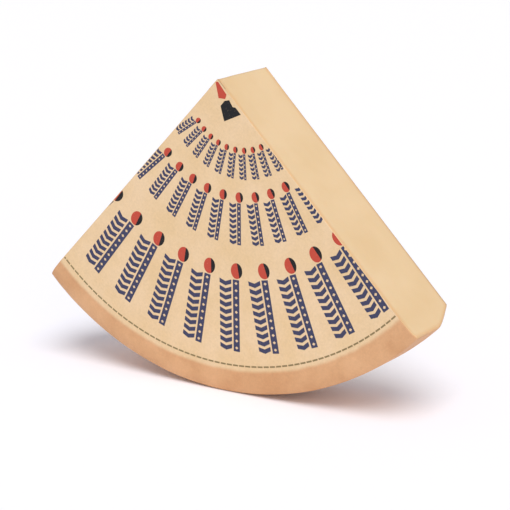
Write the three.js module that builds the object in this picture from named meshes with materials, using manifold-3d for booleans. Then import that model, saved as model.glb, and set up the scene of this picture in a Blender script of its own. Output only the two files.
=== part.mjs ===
// A quarter of a large hard-cheese wheel, cut out with two straight knife cuts that meet on the
// wheel's axis. It stands on the rind, tip up. Millimetres and degrees, +Z up.
//
// Frame: the origin is on the ground under the tip, midway between the wheel's two flat faces.
// The wheel's axis runs along Y through the tip. The printed face looks towards -Y.

import * as THREE from "three";
import { mergeVertices } from "three/addons/utils/BufferGeometryUtils.js";
import Module from "manifold-3d";

// ---- Driving dimensions ----

const wheelDiameter = 650; // across the belly of the rind
const wheelHeight = 87; // from the printed face to the back face
const wedgeAngle = 88.5; // between the two cuts: a quarter of the wheel, cut by hand
const rindBulge = 27; // how far the belly stands out past the printed face
const frontShoulder = 6.5; // depth over which the rind rounds from the printed face to the belly
const backDrop = 18; // how far the back face stays inside the belly, where it meets the rind in a plain corner
const backTaper = 39; // depth over which the belly falls away to the back face
const taperEase = 6.5; // depth over which that fall begins gently

// ---- Fineness of the facets ----

const wheelSegments = 160; // flat strips round the whole wheel
const shoulderSteps = 5; // pairs of chords in the rounded shoulder, and chords in the taper

// ---- Values worked out from them ----

const bellyRadius = wheelDiameter / 2;
const faceRadius = bellyRadius - rindBulge;
const backRadius = bellyRadius - backDrop;
const halfHeight = wheelHeight / 2;
const taperStart = halfHeight - backTaper;
const halfWedge = THREE.MathUtils.degToRad(wedgeAngle / 2);
const halfSegment = Math.PI / wheelSegments;
const standingHeight = bellyRadius * Math.cos(halfSegment); // from the middle of the lowest strip to the tip

// ---- Solids ----

const wasm = await Module();
wasm.setup();

// A closed geometry as a solid that can be cut.
function solidFrom(geometry) {
  const bare = geometry.clone();
  bare.deleteAttribute("normal");
  bare.deleteAttribute("uv");
  const merged = mergeVertices(bare, 1e-3);
  return new wasm.Manifold(
    new wasm.Mesh({
      numProp: 3,
      vertProperties: merged.getAttribute("position").array,
      triVerts: new Uint32Array(merged.index.array),
    }),
  );
}

// A solid as a geometry with flat-shaded facets.
function geometryFrom(solid) {
  const mesh = solid.getMesh();
  const indexed = new THREE.BufferGeometry();
  indexed.setAttribute("position", new THREE.BufferAttribute(mesh.vertProperties, mesh.numProp));
  indexed.setIndex(new THREE.BufferAttribute(mesh.triVerts, 1));
  const faceted = indexed.toNonIndexed();
  faceted.computeVertexNormals();
  return faceted;
}

// ---- The cheese ----

// Half of the wheel's section: flat faces joined by a rind with a short round shoulder at the
// printed face, a straight belly that the wedge stands on, and a taper to the back face.
function wheelProfile() {
  const profile = new THREE.Path();
  profile.moveTo(0, -halfHeight);
  profile.lineTo(faceRadius, -halfHeight);
  profile.absellipse(faceRadius, frontShoulder - halfHeight, rindBulge, frontShoulder, -Math.PI / 2, 0);
  profile.lineTo(bellyRadius, taperStart);
  profile.quadraticCurveTo(bellyRadius, taperStart + taperEase, backRadius, halfHeight);
  profile.lineTo(0, halfHeight);
  return profile.getPoints(shoulderSteps);
}

// The whole wheel, turned so that a strip and not an edge faces the ground.
function wheelGeometry() {
  return new THREE.LatheGeometry(wheelProfile(), wheelSegments, halfSegment, 2 * Math.PI);
}

// A three-sided block that opens downwards from the wheel's axis and holds all of the wedge.
function cuttingGeometry() {
  const reach = 1.2 * bellyRadius; // past the rind
  const thickness = 1.2 * wheelHeight; // past both flat faces
  const halfWidth = reach * Math.tan(halfWedge);
  const outline = new THREE.Shape();
  outline.moveTo(0, 0);
  outline.lineTo(-halfWidth, -reach);
  outline.lineTo(halfWidth, -reach);
  outline.closePath();
  const block = new THREE.ExtrudeGeometry(outline, { depth: thickness, bevelEnabled: false });
  block.translate(0, 0, -thickness / 2);
  block.rotateX(Math.PI / 2);
  return block;
}

const cheeseMaterial = new THREE.MeshStandardMaterial({ color: 0xe6c79d, roughness: 0.6, metalness: 0 });

const wedge = new THREE.Mesh(
  geometryFrom(solidFrom(wheelGeometry()).intersect(solidFrom(cuttingGeometry()))),
  cheeseMaterial,
);
wedge.name = "cheese_wedge";
wedge.position.z = standingHeight;

const model = new THREE.Group();
model.add(wedge);

export default model;
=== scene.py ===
"""A quarter of a large hard-cheese wheel standing on its rind: paste, washed rind and stamped ink.

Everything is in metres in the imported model's frame: +Z up, the tip above the origin, the wheel's
axis along Y, the printed face towards -Y. Sizes in the settings are real ones.
"""

import math
from typing import NamedTuple

import bmesh
import bpy
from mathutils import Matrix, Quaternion, Vector
from mathutils.bvhtree import BVHTree


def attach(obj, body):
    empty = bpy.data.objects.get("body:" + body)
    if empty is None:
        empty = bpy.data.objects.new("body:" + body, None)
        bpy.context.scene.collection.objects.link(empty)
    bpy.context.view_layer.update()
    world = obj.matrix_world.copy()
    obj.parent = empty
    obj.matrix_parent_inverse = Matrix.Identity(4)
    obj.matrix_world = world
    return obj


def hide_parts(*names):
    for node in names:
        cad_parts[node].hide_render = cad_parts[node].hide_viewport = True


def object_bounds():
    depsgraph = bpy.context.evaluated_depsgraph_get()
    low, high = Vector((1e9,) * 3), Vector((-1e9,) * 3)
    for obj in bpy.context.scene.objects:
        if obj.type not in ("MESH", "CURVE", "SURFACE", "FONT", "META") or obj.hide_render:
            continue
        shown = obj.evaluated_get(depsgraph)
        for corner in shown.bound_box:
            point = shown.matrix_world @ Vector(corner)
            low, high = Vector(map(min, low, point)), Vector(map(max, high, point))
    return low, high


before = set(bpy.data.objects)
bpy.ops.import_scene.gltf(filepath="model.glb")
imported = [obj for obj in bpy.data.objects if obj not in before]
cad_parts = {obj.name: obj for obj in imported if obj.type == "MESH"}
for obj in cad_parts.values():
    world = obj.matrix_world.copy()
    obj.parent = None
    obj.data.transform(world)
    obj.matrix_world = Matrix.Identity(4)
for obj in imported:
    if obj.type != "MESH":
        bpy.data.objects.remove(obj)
cad_low, cad_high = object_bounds()

bl_info = {
    "name": "Cheese wedge",
    "version": (1, 0, 0),
    "blender": (4, 5, 0),
    "location": "3D View > Sidebar > Cheese",
    "description": "Builds a stamped quarter of a hard-cheese wheel and its studio",
    "category": "Add Mesh",
}

MM = 0.001
TIP = Vector((0, 0, cad_high.z))  # where the two cuts meet on the wheel's axis
BELLY_RADIUS = cad_high.z
HALF_HEIGHT = cad_high.y
HALF_ANGLE = math.asin(cad_high.x / cad_high.z)
NODE = "cheese_wedge"


def colour(hex_code):
    """A colour written as sRGB hex, as the linear values that a shader takes."""
    channels = [int(hex_code[i : i + 2], 16) / 255 for i in (1, 3, 5)]
    return [c / 12.92 if c <= 0.04045 else ((c + 0.055) / 1.055) ** 2.4 for c in channels]


# ---------------------------------------------------------------- settings


def length(label, text, value):
    """A setting that is a length in metres."""
    return bpy.props.FloatProperty(
        name=label, description=text, default=value, unit="LENGTH", subtype="DISTANCE", precision=4
    )


def paint(label, text, hex_code):
    """A setting that is a colour."""
    return bpy.props.FloatVectorProperty(
        name=label, description=text, default=colour(hex_code), size=3, min=0, max=1, subtype="COLOR"
    )


def strength(label, text, value):
    """A setting that is how bright a light is."""
    return bpy.props.FloatProperty(name=label, description=text, default=value, min=0)


def turn(label, text, degrees):
    """A setting that is an angle, given in degrees."""
    return bpy.props.FloatProperty(
        name=label, description=text, default=math.radians(degrees), subtype="ANGLE"
    )


class WedgeSettings(bpy.types.PropertyGroup):
    """Sizes and colours of the cheese"""

    rind_bulge: length("Rind bulge", "How far the belly stands out past the printed face", 27 * MM)
    front_shoulder: length("Front shoulder", "Depth of the rounding at the printed face", 6.5 * MM)
    back_drop: length("Back drop", "How far the back face stays inside the belly", 18 * MM)
    back_taper: length("Back taper", "Depth over which the belly falls to the back face", 39 * MM)
    taper_ease: length("Taper ease", "Depth over which that fall begins gently", 6.5 * MM)
    skin_inset: length("Skin inset", "How far the skin stays inside the wheel's full size", 0.1 * MM)
    rind_relief: length("Rind relief", "Depth of the dents and swells in the rind", 0.9 * MM)
    face_relief: length("Face relief", "Depth of the swells in the two pressed faces", 0.5 * MM)
    cut_relief: length("Cut relief", "Depth of the waves that the knife leaves", 0.25 * MM)
    rind_depth: length("Rind depth", "How deep the darker rind reaches into the paste", 7 * MM)
    face_colour: paint("Face colour", "Pressed flat face of the rind", "#EACBA2")
    face_shade: paint("Face shade", "Yellower patches of the flat face", "#E4C394")
    rim_colour: paint("Rim colour", "Washed rind round the edge", "#DFAD7E")
    rim_shade: paint("Rim shade", "Darker patches of the washed rind", "#D09B6C")
    paste_colour: paint("Paste colour", "Freshly cut inside", "#E3C498")
    paste_shade: paint("Paste shade", "Slightly deeper patches of the paste", "#DEBD8E")
    crust_colour: paint("Crust colour", "Section of the rind round a cut face", "#D9A873")


class PrintSettings(bpy.types.PropertyGroup):
    """Sizes and inks of the print"""

    stamp_turn: turn("Stamp turn", "Angle from one stamp of a ring to the next", 10.05)
    stamp_length: length("Stamp length", "Of the largest stamp, without its disc", 75.5 * MM)
    stamp_width: length("Stamp width", "Across the feathered strip and the windowed band", 24 * MM)
    film: length("Ink film", "Thickness of the ink on the rind", 0.06 * MM)
    border_radius: length("Border radius", "Radius of the dashed line", 290.9 * MM)
    border_width: length("Border width", "Width of the dashed line", 1.7 * MM)
    blue_ink: paint("Blue ink", "Feathers and bands", "#3A3C5A")
    red_ink: paint("Red ink", "Discs and the flame at the tip", "#C04632")
    black_ink: paint("Black ink", "Dark sides of the discs and the kite at the tip", "#0B0A0E")
    line_ink: paint("Line ink", "Dashed line near the rim", "#8A7750")


class StageSettings(bpy.types.PropertyGroup):
    """Camera, lamps, sky and floor"""

    azimuth: turn("Azimuth", "Camera round the wedge, from the printed face", 34.36)
    elevation: turn("Elevation", "Camera above the ground", 14.23)
    roll: turn("Roll", "Camera turned about its own line of sight", 0.56)
    distance: length("Distance", "From the camera to the middle of the wedge", 2.051)
    lens: bpy.props.FloatProperty(
        name="Lens", description="Focal length on a 36 mm sensor", default=141.1, unit="CAMERA"
    )
    middle: length("Middle", "Height of the middle that the camera stands round", 0.146)
    aim_aside: length("Aim aside", "How far to the right of the middle the camera looks", 0.0111)
    aim_below: length("Aim below", "How far below the middle the camera looks", 0.01)
    lamp_azimuth: turn("Lamp azimuth", "Both lamps round the wedge, from the printed face", 44)
    key_elevation: turn("Key elevation", "High lamp above the ground", 60)
    lamp_softness: turn("Lamp softness", "Angle across each lamp", 40)
    key_strength: strength("Key strength", "Of the high lamp", 1.95)
    fill_elevation: turn("Fill elevation", "Low lamp above the ground", 22)
    fill_strength: strength("Fill strength", "Of the low lamp", 0.4)
    sky_strength: strength("Sky strength", "Of the even light", 0.5)
    sky_colour: paint("Sky colour", "Slightly cool even light", "#F3F6FF")
    floor_colour: paint("Floor colour", "Plain pale floor", "#FDFBFF")


# ---------------------------------------------------------------- helpers


MATH = "ShaderNodeMath"
VECTOR_MATH = "ShaderNodeVectorMath"
MAP_RANGE = "ShaderNodeMapRange"
NOISE = "ShaderNodeTexNoise"
MIX = "ShaderNodeMix"


def add(tree, kind, sockets=None, **settings):
    """Adds a node, sets its properties, and links or fills its inputs by name or number."""
    node = tree.nodes.new(kind)
    for name, value in settings.items():
        setattr(node, name, value)
    for key, value in (sockets or {}).items():
        if isinstance(value, bpy.types.NodeSocket):
            tree.links.new(value, node.inputs[key])
        else:
            node.inputs[key].default_value = value
    return node


def new_tree(name, sizes):
    """A geometry tree with one float or whole-number input for each named size."""
    tree = bpy.data.node_groups.new(name, "GeometryNodeTree")
    tree.interface.new_socket("Geometry", in_out="INPUT", socket_type="NodeSocketGeometry")
    tree.interface.new_socket("Geometry", in_out="OUTPUT", socket_type="NodeSocketGeometry")
    for label, value in sizes.items():
        kind = "NodeSocketInt" if isinstance(value, int) else "NodeSocketFloat"
        tree.interface.new_socket(label, in_out="INPUT", socket_type=kind)
    return tree


def grown(mesh, tree, sizes):
    """The plain mesh that a geometry tree makes from a mesh at the given sizes."""
    piece = bpy.data.objects.new("growing", mesh)
    bpy.context.scene.collection.objects.link(piece)
    modifier = piece.modifiers.new("Shape", "NODES")
    modifier.node_group = tree
    for item in tree.interface.items_tree:
        if item.in_out == "INPUT" and item.name in sizes:
            modifier[item.identifier] = sizes[item.name]
    evaluated = piece.evaluated_get(bpy.context.evaluated_depsgraph_get())
    made = bpy.data.meshes.new_from_object(evaluated)
    bpy.data.objects.remove(piece)
    return made


def piece_from(name, mesh):
    """A finished piece: an object at the origin that rides on the wedge's body."""
    mesh.name = name
    piece = bpy.data.objects.new(name, mesh)
    bpy.context.scene.collection.objects.link(piece)
    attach(piece, "root")
    return piece


def new_material(name):
    """A material with an empty tree, its shader and its Object coordinates."""
    material = bpy.data.materials.new(name)
    material.use_nodes = True
    tree = material.node_tree
    tree.nodes.clear()
    shader = add(tree, "ShaderNodeBsdfPrincipled")
    add(tree, "ShaderNodeOutputMaterial", {"Surface": shader.outputs[0]})
    place = add(tree, "ShaderNodeTexCoord").outputs["Object"]
    return material, tree, shader, place


# ---------------------------------------------------------------- materials


# How far it is across one patch or grain of each pattern. Real pores, crumbs and gaps in the ink
# are well under a millimetre, and are drawn coarser here so that they show.
RIND_PATCH = 45 * MM
RIND_PORE = 2.2 * MM
RIM_WANDER = 14 * MM
PASTE_PATCH = 60 * MM
PASTE_CRUMB = 1.2 * MM
BLADE_STREAK = 1.6 * MM
INK_GAP = 1.8 * MM


def rind_material():
    """Washed and pressed cheese rind.

    It was salted, wiped and pressed on boards for months, so it is dull and slightly greasy, pale
    on the two flat faces, tan round the rim, mottled, with a fine grain of pores.
    """
    look = bpy.context.scene.cheese_wedge
    face_radius = BELLY_RADIUS - look.rind_bulge
    material, tree, shader, place = new_material("Washed cheese rind")
    from_axis = add(
        tree, VECTOR_MATH, {0: place, 1: TIP}, operation="SUBTRACT"
    ).outputs[0]
    across = add(
        tree, VECTOR_MATH, {0: from_axis, 1: (1, 0, 1)}, operation="MULTIPLY"
    ).outputs[0]
    radius = add(tree, VECTOR_MATH, {0: across}, operation="LENGTH").outputs["Value"]
    ragged = add(
        tree, NOISE, {"Vector": place, "Scale": 1 / RIM_WANDER, "Detail": 3.0}
    ).outputs["Fac"]
    wander = add(
        tree, MAP_RANGE, {0: ragged, 3: -1.5 * MM, 4: 1.5 * MM}
    ).outputs[0]
    edge = add(tree, MATH, {0: radius, 1: wander}, operation="ADD").outputs[0]
    on_rim = add(
        tree,
        MAP_RANGE,
        {0: edge, 1: face_radius - 1 * MM, 2: face_radius + 4 * MM},
        interpolation_type="SMOOTHSTEP",
    ).outputs[0]
    patches = add(
        tree,
        NOISE,
        {"Vector": place, "Scale": 1 / RIND_PATCH, "Detail": 4.0, "Roughness": 0.6},
    ).outputs["Fac"]
    patchy = add(tree, MAP_RANGE, {0: patches, 1: 0.35, 2: 0.65}).outputs[0]
    pores = add(
        tree,
        NOISE,
        {"Vector": place, "Scale": 1 / RIND_PORE, "Detail": 3.0, "Roughness": 0.7},
    ).outputs["Fac"]
    face = add(
        tree,
        MIX,
        {0: patchy, 6: (*look.face_colour, 1), 7: (*look.face_shade, 1)},
        data_type="RGBA",
    ).outputs[2]
    rim = add(
        tree,
        MIX,
        {0: patchy, 6: (*look.rim_colour, 1), 7: (*look.rim_shade, 1)},
        data_type="RGBA",
    ).outputs[2]
    skin = add(tree, MIX, {0: on_rim, 6: face, 7: rim}, data_type="RGBA").outputs[2]
    speck = add(tree, MAP_RANGE, {0: pores, 1: 0.3, 2: 0.7, 3: 0.94, 4: 1.04}).outputs[0]
    tinted = add(
        tree, MIX, {0: 1.0, 6: skin, 7: speck}, data_type="RGBA", blend_type="MULTIPLY"
    ).outputs[2]
    tree.links.new(tinted, shader.inputs["Base Color"])
    grain = add(
        tree,
        "ShaderNodeBump",
        {"Height": pores, "Distance": 0.35 * MM, "Strength": 0.5},
    ).outputs[0]
    tree.links.new(grain, shader.inputs["Normal"])
    shader.inputs["Roughness"].default_value = 0.62
    shader.inputs["IOR"].default_value = 1.45
    return material


def paste_material():
    """Hard cheese paste, cut with a wide knife.

    It is dense, waxy and a little translucent, with faint streaks from the blade that run outwards
    from the tip and a narrow darker crust where the rind begins.
    """
    look = bpy.context.scene.cheese_wedge
    material, tree, shader, place = new_material("Knife-cut cheese paste")
    patches = add(
        tree,
        NOISE,
        {"Vector": place, "Scale": 1 / PASTE_PATCH, "Detail": 3.0},
    ).outputs["Fac"]
    patchy = add(tree, MAP_RANGE, {0: patches, 1: 0.35, 2: 0.65}).outputs[0]
    paste = add(
        tree,
        MIX,
        {0: patchy, 6: (*look.paste_colour, 1), 7: (*look.paste_shade, 1)},
        data_type="RGBA",
    ).outputs[2]
    depth = add(tree, "ShaderNodeAttribute", attribute_name="rind_depth").outputs["Fac"]
    crust = add(
        tree,
        MAP_RANGE,
        {0: depth, 1: 0.0, 2: look.rind_depth, 3: 0.7, 4: 0.0},
        interpolation_type="SMOOTHSTEP",
    ).outputs[0]
    body = add(
        tree, MIX, {0: crust, 6: paste, 7: (*look.crust_colour, 1)}, data_type="RGBA"
    ).outputs[2]
    tree.links.new(body, shader.inputs["Base Color"])
    drawn_out = add(
        tree, VECTOR_MATH, {0: place, 1: (0.06, 1, 0.06)}, operation="MULTIPLY"
    ).outputs[0]
    streaks = add(
        tree, NOISE, {"Vector": drawn_out, "Scale": 1 / BLADE_STREAK, "Detail": 3.0}
    ).outputs["Fac"]
    crumbs = add(
        tree, NOISE, {"Vector": place, "Scale": 1 / PASTE_CRUMB, "Detail": 2.0}
    ).outputs["Fac"]
    streaked = add(
        tree, "ShaderNodeBump", {"Height": streaks, "Distance": 0.12 * MM, "Strength": 0.5}
    ).outputs[0]
    grain = add(
        tree,
        "ShaderNodeBump",
        {"Height": crumbs, "Distance": 0.12 * MM, "Strength": 0.4, "Normal": streaked},
    ).outputs[0]
    tree.links.new(grain, shader.inputs["Normal"])
    shader.inputs["Roughness"].default_value = 0.5
    shader.inputs["IOR"].default_value = 1.46
    shader.inputs["Subsurface Weight"].default_value = 0.15
    shader.inputs["Subsurface Radius"].default_value = (1.0, 0.6, 0.3)
    shader.inputs["Subsurface Scale"].default_value = 4 * MM
    return material


def ink_material(name, ink):
    """Food-dye ink stamped on rind: matt, thin, and broken where the pad missed the pores."""
    look = bpy.context.scene.cheese_wedge
    material, tree, shader, place = new_material(name)
    missed = add(
        tree,
        NOISE,
        {"Vector": place, "Scale": 1 / INK_GAP, "Detail": 3.0, "Roughness": 0.6},
    ).outputs["Fac"]
    thin = add(tree, MAP_RANGE, {0: missed, 1: 0.62, 2: 0.8, 4: 0.4}).outputs[0]
    printed = add(
        tree,
        MIX,
        {0: thin, 6: (*ink, 1), 7: (*look.face_colour, 1)},
        data_type="RGBA",
    ).outputs[2]
    tree.links.new(printed, shader.inputs["Base Color"])
    shader.inputs["Roughness"].default_value = 0.7
    shader.inputs["IOR"].default_value = 1.45
    return material


# ---------------------------------------------------------------- the wedge


GRID = (180, 40, 120)  # cells round the wheel's axis, along it, and out from it
ON_CUBE_FACE = 0.9999  # past this, a place on a cube of half-side 1 is on that side of it
WORN_CELLS = 1.25  # how many cells in from the knife's edge are worn round
TIP_END = 0.9  # past this the cells are small enough to fold, so they aren't worn
SWELL = 50 * MM  # across one swell of the rind
WELD = 1e-6  # places closer than this are one vertex


def wedge_tree(sizes, rind, paste):
    """The rule of the wedge's shape, worked on a finely divided cube.

    The cube's X becomes the angle round the wheel's axis, its Y the way along the wheel's profile
    from the printed face to the back face, and its Z the way out from the tip to that profile.
    """
    tree = new_tree("Wedge of a wheel", sizes)
    source = add(tree, "NodeGroupInput").outputs
    cube = add(
        tree,
        "GeometryNodeMeshCube",
        {
            "Size": (2, 2, 2),
            "Vertices X": GRID[0] + 1,
            "Vertices Y": GRID[1] + 1,
            "Vertices Z": GRID[2] + 1,
        },
    ).outputs["Mesh"]
    place = add(tree, "GeometryNodeInputPosition").outputs[0]
    turn, along, out = add(tree, "ShaderNodeSeparateXYZ", {0: place}).outputs

    # Which side of the cube a vertex or a face is on.
    sideways = add(tree, MATH, {0: turn}, operation="ABSOLUTE").outputs[0]
    on_cut = add(
        tree, "FunctionNodeCompare", {0: sideways, 1: ON_CUBE_FACE}, operation="GREATER_THAN"
    ).outputs[0]
    at_edge = add(
        tree, MATH, {0: sideways, 1: 1 - 2 * WORN_CELLS / GRID[0]}, operation="GREATER_THAN"
    ).outputs[0]
    off_tip = add(tree, MATH, {0: out, 1: TIP_END}, operation="LESS_THAN").outputs[0]
    by_cut = add(tree, MATH, {0: at_edge, 1: off_tip}, operation="MULTIPLY").outputs[0]
    endways = add(tree, MATH, {0: along}, operation="ABSOLUTE").outputs[0]
    on_face = add(tree, MATH, {0: endways, 1: ON_CUBE_FACE}, operation="GREATER_THAN").outputs[0]

    # The profile has three stretches: a quarter ellipse, a straight belly and a parabola that
    # falls to the back face. Each has its own share of the way along.
    front, middle = source["Front share"], source["Middle share"]
    way = add(tree, MAP_RANGE, {0: along, 1: -1.0, 2: 1.0}).outputs[0]
    bend = add(tree, MAP_RANGE, {0: way, 2: front, 4: math.pi / 2}).outputs[0]
    belly_way = add(tree, MAP_RANGE, {0: way, 1: front, 2: middle}).outputs[0]
    fall = add(tree, MAP_RANGE, {0: way, 1: middle}).outputs[0]
    fallen = add(tree, MATH, {0: fall, 1: 2.0}, operation="POWER").outputs[0]

    # How far out from the axis the profile is.
    bend_sine = add(tree, MATH, {0: bend}, operation="SINE").outputs[0]
    swell = add(
        tree,
        MATH,
        {0: bend_sine, 1: source["Rind bulge"], 2: source["Face radius"]},
        operation="MULTIPLY_ADD",
    ).outputs[0]
    back_drop = add(tree, MATH, {0: fallen, 1: source["Back drop"]}, operation="MULTIPLY").outputs[0]
    rim_radius = add(tree, MATH, {0: swell, 1: back_drop}, operation="SUBTRACT").outputs[0]

    # How far back from the printed face it is.
    bend_cosine = add(tree, MATH, {0: bend}, operation="COSINE").outputs[0]
    rounded = add(tree, MATH, {0: 1.0, 1: bend_cosine}, operation="SUBTRACT").outputs[0]
    depth = add(
        tree, MATH, {0: rounded, 1: source["Front shoulder"]}, operation="MULTIPLY"
    ).outputs[0]
    not_fallen = add(tree, MATH, {0: fall, 1: fallen}, operation="SUBTRACT").outputs[0]
    eased = add(tree, MATH, {0: not_fallen, 1: 2.0}, operation="MULTIPLY").outputs[0]
    for way_along, stretch in ((belly_way, "Belly"), (fallen, "Back taper"), (eased, "Taper ease")):
        depth = add(
            tree, MATH, {0: way_along, 1: source[stretch], 2: depth}, operation="MULTIPLY_ADD"
        ).outputs[0]
    rim_y = add(tree, MATH, {0: depth, 1: source["Half height"]}, operation="SUBTRACT").outputs[0]
    axis_y = add(tree, MATH, {0: along, 1: source["Half height"]}, operation="MULTIPLY").outputs[0]

    # Out from the axis to the profile, and round by the angle.
    share = add(tree, MAP_RANGE, {0: out, 1: 1.0, 2: -1.0}).outputs[0]
    radius = add(tree, MATH, {0: share, 1: rim_radius}, operation="MULTIPLY").outputs[0]
    y = add(tree, MIX, {0: share, 2: axis_y, 3: rim_y}).outputs[0]
    angle = add(tree, MATH, {0: turn, 1: source["Half angle"]}, operation="MULTIPLY").outputs[0]
    sine = add(tree, MATH, {0: angle}, operation="SINE").outputs[0]
    cosine = add(tree, MATH, {0: angle}, operation="COSINE").outputs[0]
    x = add(tree, MATH, {0: sine, 1: radius}, operation="MULTIPLY").outputs[0]
    below_tip = add(tree, MATH, {0: cosine, 1: radius}, operation="MULTIPLY").outputs[0]
    z = add(tree, MATH, {0: source["Tip height"], 1: below_tip}, operation="SUBTRACT").outputs[0]
    target = add(tree, "ShaderNodeCombineXYZ", {0: x, 1: y, 2: z}).outputs[0]

    # How far each place is below the rind.
    from_rim = add(tree, MATH, {0: rim_radius, 1: radius}, operation="SUBTRACT").outputs[0]
    from_middle = add(tree, MATH, {0: y}, operation="ABSOLUTE").outputs[0]
    from_face = add(
        tree, MATH, {0: source["Half height"], 1: from_middle}, operation="SUBTRACT"
    ).outputs[0]
    buried = add(tree, MATH, {0: from_rim, 1: from_face}, operation="MINIMUM").outputs[0]

    # Marks are put on the cube while its sides are still plain to tell.
    shape = cube
    for name, value, kind, domain in (
        ("by_cut", by_cut, "FLOAT", "POINT"),
        ("on_cut", on_cut, "FLOAT", "POINT"),
        ("on_face", on_face, "FLOAT", "POINT"),
        ("rind_depth", buried, "FLOAT", "POINT"),
        ("cut_face", on_cut, "BOOLEAN", "FACE"),
    ):
        shape = add(
            tree,
            "GeometryNodeStoreNamedAttribute",
            {0: shape, "Name": name, "Value": value},
            data_type=kind,
            domain=domain,
        ).outputs[0]
    by_cut_mark, cut_mark, face_mark, cut_face_mark = (
        add(tree, "GeometryNodeInputNamedAttribute", {0: name}, data_type=kind).outputs[0]
        for name, kind in (
            ("by_cut", "FLOAT"),
            ("on_cut", "FLOAT"),
            ("on_face", "FLOAT"),
            ("cut_face", "BOOLEAN"),
        )
    )
    shape = add(tree, "GeometryNodeSetPosition", {0: shape, "Position": target}).outputs[0]
    shape = add(tree, "GeometryNodeMergeByDistance", {0: shape, "Distance": WELD}).outputs[0]

    # The knife's edges wear round: positions are averaged there and nowhere else.
    worn = add(
        tree,
        "GeometryNodeBlurAttribute",
        {"Value": place, "Iterations": 1, "Weight": by_cut_mark},
        data_type="FLOAT_VECTOR",
    ).outputs[0]
    shape = add(tree, "GeometryNodeSetPosition", {0: shape, "Position": worn}).outputs[0]

    # Swells and dents only ever go inwards.
    outer_relief = add(
        tree, MIX, {0: face_mark, 2: source["Rind relief"], 3: source["Face relief"]}
    ).outputs[0]
    relief = add(tree, MIX, {0: cut_mark, 2: outer_relief, 3: source["Cut relief"]}).outputs[0]
    swells = add(
        tree, NOISE, {"Vector": place, "Scale": 1 / SWELL, "Detail": 3.0, "Roughness": 0.55}
    ).outputs["Fac"]
    inwards = add(
        tree, MATH, {0: swells, 1: relief, 2: source["Skin inset"]}, operation="MULTIPLY_ADD"
    ).outputs[0]
    outwards = add(tree, MATH, {0: inwards, 1: -1.0}, operation="MULTIPLY").outputs[0]
    normal = add(tree, "GeometryNodeInputNormal").outputs[0]
    moved = add(tree, VECTOR_MATH, {0: normal, "Scale": outwards}, operation="SCALE").outputs[0]
    shape = add(tree, "GeometryNodeSetPosition", {0: shape, "Offset": moved}).outputs[0]

    shape = add(tree, "GeometryNodeSetShadeSmooth", {0: shape}).outputs[0]
    shape = add(tree, "GeometryNodeRealizeInstances", {0: shape}).outputs[0]
    shape = add(tree, "GeometryNodeSetMaterial", {0: shape, "Material": rind}).outputs[0]
    shape = add(
        tree, "GeometryNodeSetMaterial", {0: shape, "Selection": cut_face_mark, "Material": paste}
    ).outputs[0]
    add(tree, "NodeGroupOutput", {0: shape})
    return tree


class MakeWedge(bpy.types.Operator):
    """Build the wedge of cheese, with its rind and its two cut faces"""

    bl_idname = "cheese.make_wedge"
    bl_label = "Wedge"

    def execute(self, context):
        look = context.scene.cheese_wedge
        belly = 2 * HALF_HEIGHT - look.front_shoulder - look.back_taper
        # Lengths of the three stretches of the profile, an ellipse's by the mean of its radii.
        front = math.pi / 2 * math.hypot(look.rind_bulge, look.front_shoulder) / math.sqrt(2)
        whole = front + belly + math.hypot(look.back_taper, look.back_drop)
        sizes = {
            "Half angle": HALF_ANGLE,
            "Half height": HALF_HEIGHT,
            "Tip height": TIP.z,
            "Face radius": BELLY_RADIUS - look.rind_bulge,
            "Rind bulge": look.rind_bulge,
            "Front shoulder": look.front_shoulder,
            "Back drop": look.back_drop,
            "Back taper": look.back_taper,
            "Taper ease": look.taper_ease,
            "Belly": belly,
            "Front share": front / whole,
            "Middle share": (front + belly) / whole,
            "Skin inset": look.skin_inset,
            "Rind relief": look.rind_relief,
            "Face relief": look.face_relief,
            "Cut relief": look.cut_relief,
        }
        rind, paste = rind_material(), paste_material()
        tree = wedge_tree(sizes, rind, paste)
        mesh = grown(bpy.data.meshes.new("wedge"), tree, sizes)
        wedge = piece_from("cheese_body", mesh)
        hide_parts(NODE)
        return {"FINISHED"}


# ---------------------------------------------------------------- the print


class Ring(NamedTuple):
    """A ring of stamps. Each was laid by hand, so that none is quite centred on the wheel."""

    radius: float  # of the stamps' ends nearest the rim
    size: float  # against the largest stamp
    aside: float  # of its centre to the right of the tip
    above: float  # of its centre above the tip
    angle: float  # of one stamp from straight down
    cells: int  # repeats of the pattern along a stamp
    disc_growth: float  # of its discs, on top of the size


RINGS = (
    Ring(274.3 * MM, 1.0, 11 * MM, -4.1 * MM, math.radians(0), 10, 1.0),
    Ring(160 * MM, 0.57, 20 * MM, -6.3 * MM, math.radians(-0.4), 8, 1.15),
    Ring(89.7 * MM, 0.344, 24.9 * MM, -9.3 * MM, math.radians(2.8), 6, 1.15),
)

# The largest stamp. The feathered strip and the band are shares of its width; the barbs and the
# window are shares of one repeat of the pattern.
STRIP_SHARE = 0.6
BAND_SHARE = 0.32
BARB_STROKE = 0.6
BARB_SLANT = 0.35
WINDOW_WIDTH = 0.25  # of the band, from the window's middle to its corner
WINDOW_HEIGHT = 0.22

DISC_RADII = (6.8 * MM, 8.2 * MM)  # across a stamp, and along it
DISC_ASIDE = 0.37  # of the disc from the stamp's middle, as a share of its width
DISC_GAP = 1 * MM  # between the stamp and the disc
DISC_STEPS = 16
RED_SIDE = (84, 300)  # degrees round the disc, from across the stamp
BLACK_SIDE = (-62, 86)
BLACK_INSET = 0.2 * MM  # keeps the two inks apart

# Marks near the tip, as corners in millimetres to the right of the tip and above it.
FLAME = ((-2.5, -3.5), (0.5, -3), (10.5, -15), (9, -19.5), (1, -19.3))
KITE = ((8, -21.5), (13.7, -20.3), (17.7, -26.8), (21, -27), (27.4, -33.5), (7.4, -42), (3.2, -27))

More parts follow.
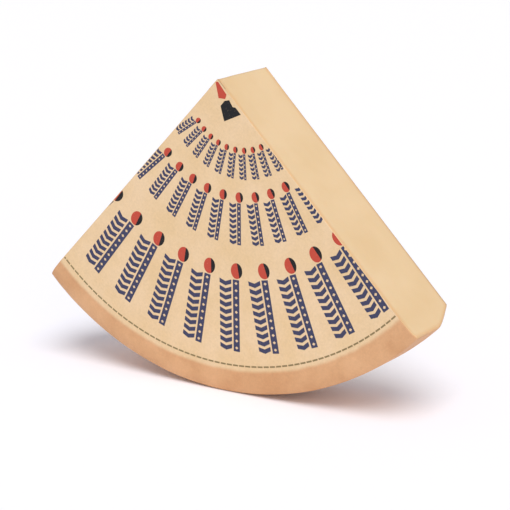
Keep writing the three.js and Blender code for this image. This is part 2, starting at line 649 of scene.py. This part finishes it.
BORDER_CENTRE = (2 * MM, -2.9 * MM)  # to the right of the tip and above it
BORDER_DASH = 6.2 * MM
BORDER_PITCH = 7.6 * MM
EDGE_MARGIN = 1 * MM  # ink stops this far from the knife's edge
LIFT = 0.02 * MM  # air between rind and ink, so that the two never share a surface


def outline_mesh(outlines):
    """Flat shapes in the XZ plane that face -Y, from lists of (x, z) corners."""
    shapes = bmesh.new()
    for outline in outlines:
        shapes.faces.new([shapes.verts.new((x, 0, z)) for x, z in outline])
    bmesh.ops.recalc_face_normals(shapes, faces=shapes.faces)
    for face in shapes.faces:
        if face.normal.y > 0:
            face.normal_flip()
    mesh = bpy.data.meshes.new("outline")
    shapes.to_mesh(mesh)
    shapes.free()
    return mesh


def tip_outline(corners):
    """One of the marks near the tip, as places on the printed face."""
    return outline_mesh([[(x * MM, TIP.z + z * MM) for x, z in corners]])


def stamp_cell(cells):
    """One repeat of the blue pattern: a feather's pair of barbs, and a band with a diamond window."""
    ink = bpy.context.scene.cheese_print
    half, pitch = ink.stamp_width / 2, ink.stamp_length / cells
    strip_low, strip_high = -half, -half + STRIP_SHARE * ink.stamp_width
    middle = (strip_low + strip_high) / 2
    stroke, slant = BARB_STROKE * pitch, BARB_SLANT * pitch
    barbs = [
        [(side, slant), (middle, 0), (middle, stroke), (side, slant + stroke)]
        for side in (strip_low, strip_high)
    ]
    band_low, band_high = half - BAND_SHARE * ink.stamp_width, half
    centre = (band_low + band_high) / 2
    wide, tall = WINDOW_WIDTH * (band_high - band_low), WINDOW_HEIGHT * pitch
    corners = [(band_low, 0), (band_high, 0), (band_high, pitch), (band_low, pitch)]
    window = [
        (centre, pitch / 2 - tall),
        (centre + wide, pitch / 2),
        (centre, pitch / 2 + tall),
        (centre - wide, pitch / 2),
    ]
    band = [
        [corners[i], corners[(i + 1) % 4], window[(i + 1) % 4], window[i]] for i in range(4)
    ]
    return outline_mesh(barbs + band)


def disc_side(side, inset, growth):
    """A side of the disc at a stamp's inner end, cut off by a slanting chord."""
    ink = bpy.context.scene.cheese_print
    start, end = (math.radians(degrees) for degrees in side)
    wide, tall = (growth * radius for radius in DISC_RADII)
    x = ink.stamp_width * DISC_ASIDE + inset
    z = ink.stamp_length + DISC_GAP + tall
    angles = [start + (end - start) * i / DISC_STEPS for i in range(DISC_STEPS + 1)]
    return outline_mesh([[(x + wide * math.cos(a), z + tall * math.sin(a)) for a in angles]])


def ring_tree(sizes, ink):
    """A ring of equal stamps: one cell repeated along a line, and that line repeated on an arc."""
    tree = new_tree("Ring of stamps", sizes)
    source = add(tree, "NodeGroupInput").outputs
    step = add(tree, "ShaderNodeCombineXYZ", {2: source["Cell pitch"]}).outputs[0]
    line = add(tree, "GeometryNodeMeshLine", {"Count": source["Cells"], "Offset": step}).outputs[0]
    cells = add(
        tree, "GeometryNodeInstanceOnPoints", {"Points": line, "Instance": source["Geometry"]}
    ).outputs[0]
    stamp = add(tree, "GeometryNodeRealizeInstances", {0: cells}).outputs[0]

    number = add(tree, "GeometryNodeInputIndex").outputs[0]
    angle = add(
        tree,
        MATH,
        {0: number, 1: source["Turn"], 2: source["First angle"]},
        operation="MULTIPLY_ADD",
    ).outputs[0]
    sine = add(tree, MATH, {0: angle}, operation="SINE").outputs[0]
    cosine = add(tree, MATH, {0: angle}, operation="COSINE").outputs[0]
    x = add(
        tree, MATH, {0: sine, 1: source["Radius"], 2: source["Centre X"]}, operation="MULTIPLY_ADD"
    ).outputs[0]
    below = add(tree, MATH, {0: cosine, 1: source["Radius"]}, operation="MULTIPLY").outputs[0]
    z = add(tree, MATH, {0: source["Centre Z"], 1: below}, operation="SUBTRACT").outputs[0]
    where = add(tree, "ShaderNodeCombineXYZ", {0: x, 2: z}).outputs[0]
    points = add(
        tree, "GeometryNodePoints", {"Count": source["Stamps"], "Position": where}
    ).outputs[0]

    # A stamp's own Z points to the ring's centre.
    back_turn = add(tree, MATH, {0: angle, 1: -1.0}, operation="MULTIPLY").outputs[0]
    facing = add(tree, "ShaderNodeCombineXYZ", {1: back_turn}).outputs[0]
    rotation = add(tree, "FunctionNodeEulerToRotation", {0: facing}).outputs[0]
    size = add(tree, "ShaderNodeCombineXYZ", {i: source["Size"] for i in range(3)}).outputs[0]
    ring = add(
        tree,
        "GeometryNodeInstanceOnPoints",
        {"Points": points, "Instance": stamp, "Rotation": rotation, "Scale": size},
    ).outputs[0]

    whole = add(tree, "GeometryNodeRealizeInstances", {0: ring}).outputs[0]
    joined = add(tree, "GeometryNodeMergeByDistance", {0: whole, "Distance": WELD}).outputs[0]
    inked = add(tree, "GeometryNodeSetMaterial", {0: joined, "Material": ink}).outputs[0]
    add(tree, "NodeGroupOutput", {0: inked})
    return tree


def ring_sizes(ring, cells):
    """The sizes of a ring that covers the wedge and one stamp more on each side."""
    ink = bpy.context.scene.cheese_print
    each_side = math.ceil(HALF_ANGLE / ink.stamp_turn) + 1
    return {
        "Cells": cells,
        "Cell pitch": ink.stamp_length / cells,
        "Stamps": 2 * each_side + 1,
        "Turn": ink.stamp_turn,
        "First angle": ring.angle - each_side * ink.stamp_turn,
        "Radius": ring.radius,
        "Centre X": ring.aside,
        "Centre Z": TIP.z + ring.above,
        "Size": ring.size,
    }


def border_sizes():
    """The sizes of the dashed line as a ring of dashes that runs past the wedge on each side."""
    ink = bpy.context.scene.cheese_print
    turn = BORDER_PITCH / ink.border_radius
    each_side = math.ceil(HALF_ANGLE / turn) + 2
    return {
        "Cells": 1,
        "Cell pitch": BORDER_PITCH,
        "Stamps": 2 * each_side + 1,
        "Turn": turn,
        "First angle": -each_side * turn,
        "Radius": ink.border_radius,
        "Centre X": BORDER_CENTRE[0],
        "Centre Z": TIP.z + BORDER_CENTRE[1],
        "Size": 1.0,
    }


def border_dash():
    """One dash of the line near the rim."""
    half_long, half_wide = BORDER_DASH / 2, bpy.context.scene.cheese_print.border_width / 2
    corners = ((-1, -1), (1, -1), (1, 1), (-1, 1))
    return outline_mesh([[(x * half_long, z * half_wide) for x, z in corners]])


def laid_on_rind(name, meshes, material):
    """Flat shapes joined into one film of ink, trimmed at the cuts and laid on the printed face."""
    ink = bpy.context.scene.cheese_print
    film = bmesh.new()
    for mesh in meshes:
        film.from_mesh(mesh)
    for side in (-1, 1):
        normal = Vector((side * math.cos(HALF_ANGLE), 0, math.sin(HALF_ANGLE)))
        bmesh.ops.bisect_plane(
            film,
            geom=[*film.verts, *film.edges, *film.faces],
            plane_co=TIP - normal * EDGE_MARGIN,
            plane_no=normal,
            clear_outer=True,
        )
    rind = bpy.data.objects["cheese_body"]
    surface = BVHTree.FromObject(rind, bpy.context.evaluated_depsgraph_get())
    for vertex in film.verts:
        start = Vector((vertex.co.x, -2 * HALF_HEIGHT, vertex.co.z))
        hit = surface.ray_cast(start, Vector((0, 1, 0)))[0]
        if hit is None:
            raise RuntimeError(f"{name}: a corner of the print is off the rind at {start}")
        vertex.co.y = hit.y - LIFT
    mesh = bpy.data.meshes.new(name)
    film.to_mesh(mesh)
    film.free()
    mesh.materials.append(material)
    piece = piece_from(name, mesh)
    wall = piece.modifiers.new("Film", "SOLIDIFY")
    wall.thickness = ink.film
    wall.offset = 1
    return piece


def stamps(ink):
    """The three rings of blue stamps."""
    sizes = [ring_sizes(ring, ring.cells) for ring in RINGS]
    tree = ring_tree(sizes[0], ink)
    return [grown(stamp_cell(ring.cells), tree, size) for ring, size in zip(RINGS, sizes)]


def discs(ink, side, inset):
    """The three rings of one side of the discs."""
    sizes = [ring_sizes(ring, 1) for ring in RINGS]
    tree = ring_tree(sizes[0], ink)
    halves = [disc_side(side, inset, ring.disc_growth) for ring in RINGS]
    return [grown(half, tree, size) for half, size in zip(halves, sizes)]


class MakePrint(bpy.types.Operator):
    """Stamp the three rings, the marks at the tip and the dashed line on the flat face"""

    bl_idname = "cheese.make_print"
    bl_label = "Print"

    def execute(self, context):
        ink = context.scene.cheese_print
        blue = ink_material("Blue stamping ink", ink.blue_ink)
        red = ink_material("Red stamping ink", ink.red_ink)
        black = ink_material("Black stamping ink", ink.black_ink)
        olive = ink_material("Olive stamping ink", ink.line_ink)
        laid_on_rind("blue_print", stamps(blue), blue)
        laid_on_rind("red_print", [*discs(red, RED_SIDE, 0), tip_outline(FLAME)], red)
        laid_on_rind("black_print", [*discs(black, BLACK_SIDE, BLACK_INSET), tip_outline(KITE)], black)
        border = border_sizes()
        laid_on_rind("border_line", [grown(border_dash(), ring_tree(border, olive), border)], olive)
        return {"FINISHED"}


# ---------------------------------------------------------------- the stage


FLOOR_SIDE = 60  # so wide that its edge is out of sight
LAMP_REACH = 2  # where a lamp stands has no effect, only where it points


def direction(azimuth, elevation):
    """The way out from the wedge, by the angle from the printed face and that above the ground."""
    flat = math.cos(elevation)
    return Vector((math.sin(azimuth) * flat, -math.cos(azimuth) * flat, math.sin(elevation)))


class MakeStage(bpy.types.Operator):
    """Set up the pale floor, the soft light and the camera"""

    bl_idname = "cheese.make_stage"
    bl_label = "Stage"

    def execute(self, context):
        scene = context.scene
        stage = scene.cheese_stage
        scene.view_settings.view_transform = "Standard"

        bpy.ops.mesh.primitive_plane_add(size=FLOOR_SIDE, location=(0, 0, 0))
        floor = context.object
        floor.name = "floor"
        material, _, shader, _ = new_material("Pale studio floor")
        shader.inputs["Base Color"].default_value = (*stage.floor_colour, 1)
        shader.inputs["Roughness"].default_value = 0.9
        shader.inputs["Specular IOR Level"].default_value = 0.1
        floor.data.materials.append(material)

        world = bpy.data.worlds.new("Studio")
        world.use_nodes = True
        light = world.node_tree.nodes["Background"].inputs
        light["Color"].default_value = (*stage.sky_colour, 1)
        light["Strength"].default_value = stage.sky_strength
        scene.world = world

        for name, elevation, strength in (
            ("key", stage.key_elevation, stage.key_strength),
            ("fill", stage.fill_elevation, stage.fill_strength),
        ):
            lamp = bpy.data.lights.new(name, "SUN")
            lamp.energy = strength
            lamp.angle = stage.lamp_softness
            holder = bpy.data.objects.new(name, lamp)
            holder.location = direction(stage.lamp_azimuth, elevation) * LAMP_REACH
            holder.rotation_euler = (-holder.location).to_track_quat("-Z", "Y").to_euler()
            scene.collection.objects.link(holder)

        back = direction(stage.azimuth, stage.elevation)
        right = Vector((math.cos(stage.azimuth), math.sin(stage.azimuth), 0))
        aside = right * stage.aim_aside - back.cross(right) * stage.aim_below
        sight = (aside - back * stage.distance).normalized()
        camera = bpy.data.objects.new("camera", bpy.data.cameras.new("camera"))
        camera.data.lens = stage.lens
        camera.location = Vector((0, 0, stage.middle)) + back * stage.distance
        upright = sight.to_track_quat("-Z", "Y")
        camera.rotation_euler = (Quaternion(sight, stage.roll) @ upright).to_euler()
        scene.collection.objects.link(camera)
        scene.camera = camera
        return {"FINISHED"}


# ---------------------------------------------------------------- the add-on


class CheesePanel(bpy.types.Panel):
    """Lists the three operators, each with its settings"""

    bl_label = "Cheese wedge"
    bl_idname = "VIEW3D_PT_cheese_wedge"
    bl_space_type = "VIEW_3D"
    bl_region_type = "UI"
    bl_category = "Cheese"

    def draw(self, context):
        for operator, settings in (
            (MakeWedge, context.scene.cheese_wedge),
            (MakePrint, context.scene.cheese_print),
            (MakeStage, context.scene.cheese_stage),
        ):
            box = self.layout.box()
            box.operator(operator.bl_idname)
            for name in settings.__annotations__:
                box.prop(settings, name)


CLASSES = (WedgeSettings, PrintSettings, StageSettings, MakeWedge, MakePrint, MakeStage, CheesePanel)


def register():
    for cls in CLASSES:
        bpy.utils.register_class(cls)
    bpy.types.Scene.cheese_wedge = bpy.props.PointerProperty(type=WedgeSettings)
    bpy.types.Scene.cheese_print = bpy.props.PointerProperty(type=PrintSettings)
    bpy.types.Scene.cheese_stage = bpy.props.PointerProperty(type=StageSettings)


def unregister():
    for name in ("cheese_wedge", "cheese_print", "cheese_stage"):
        delattr(bpy.types.Scene, name)
    for cls in reversed(CLASSES):
        bpy.utils.unregister_class(cls)


def main():
    register()
    bpy.ops.cheese.make_wedge()
    bpy.ops.cheese.make_print()
    bpy.ops.cheese.make_stage()


if __name__ == "__main__":
    main()
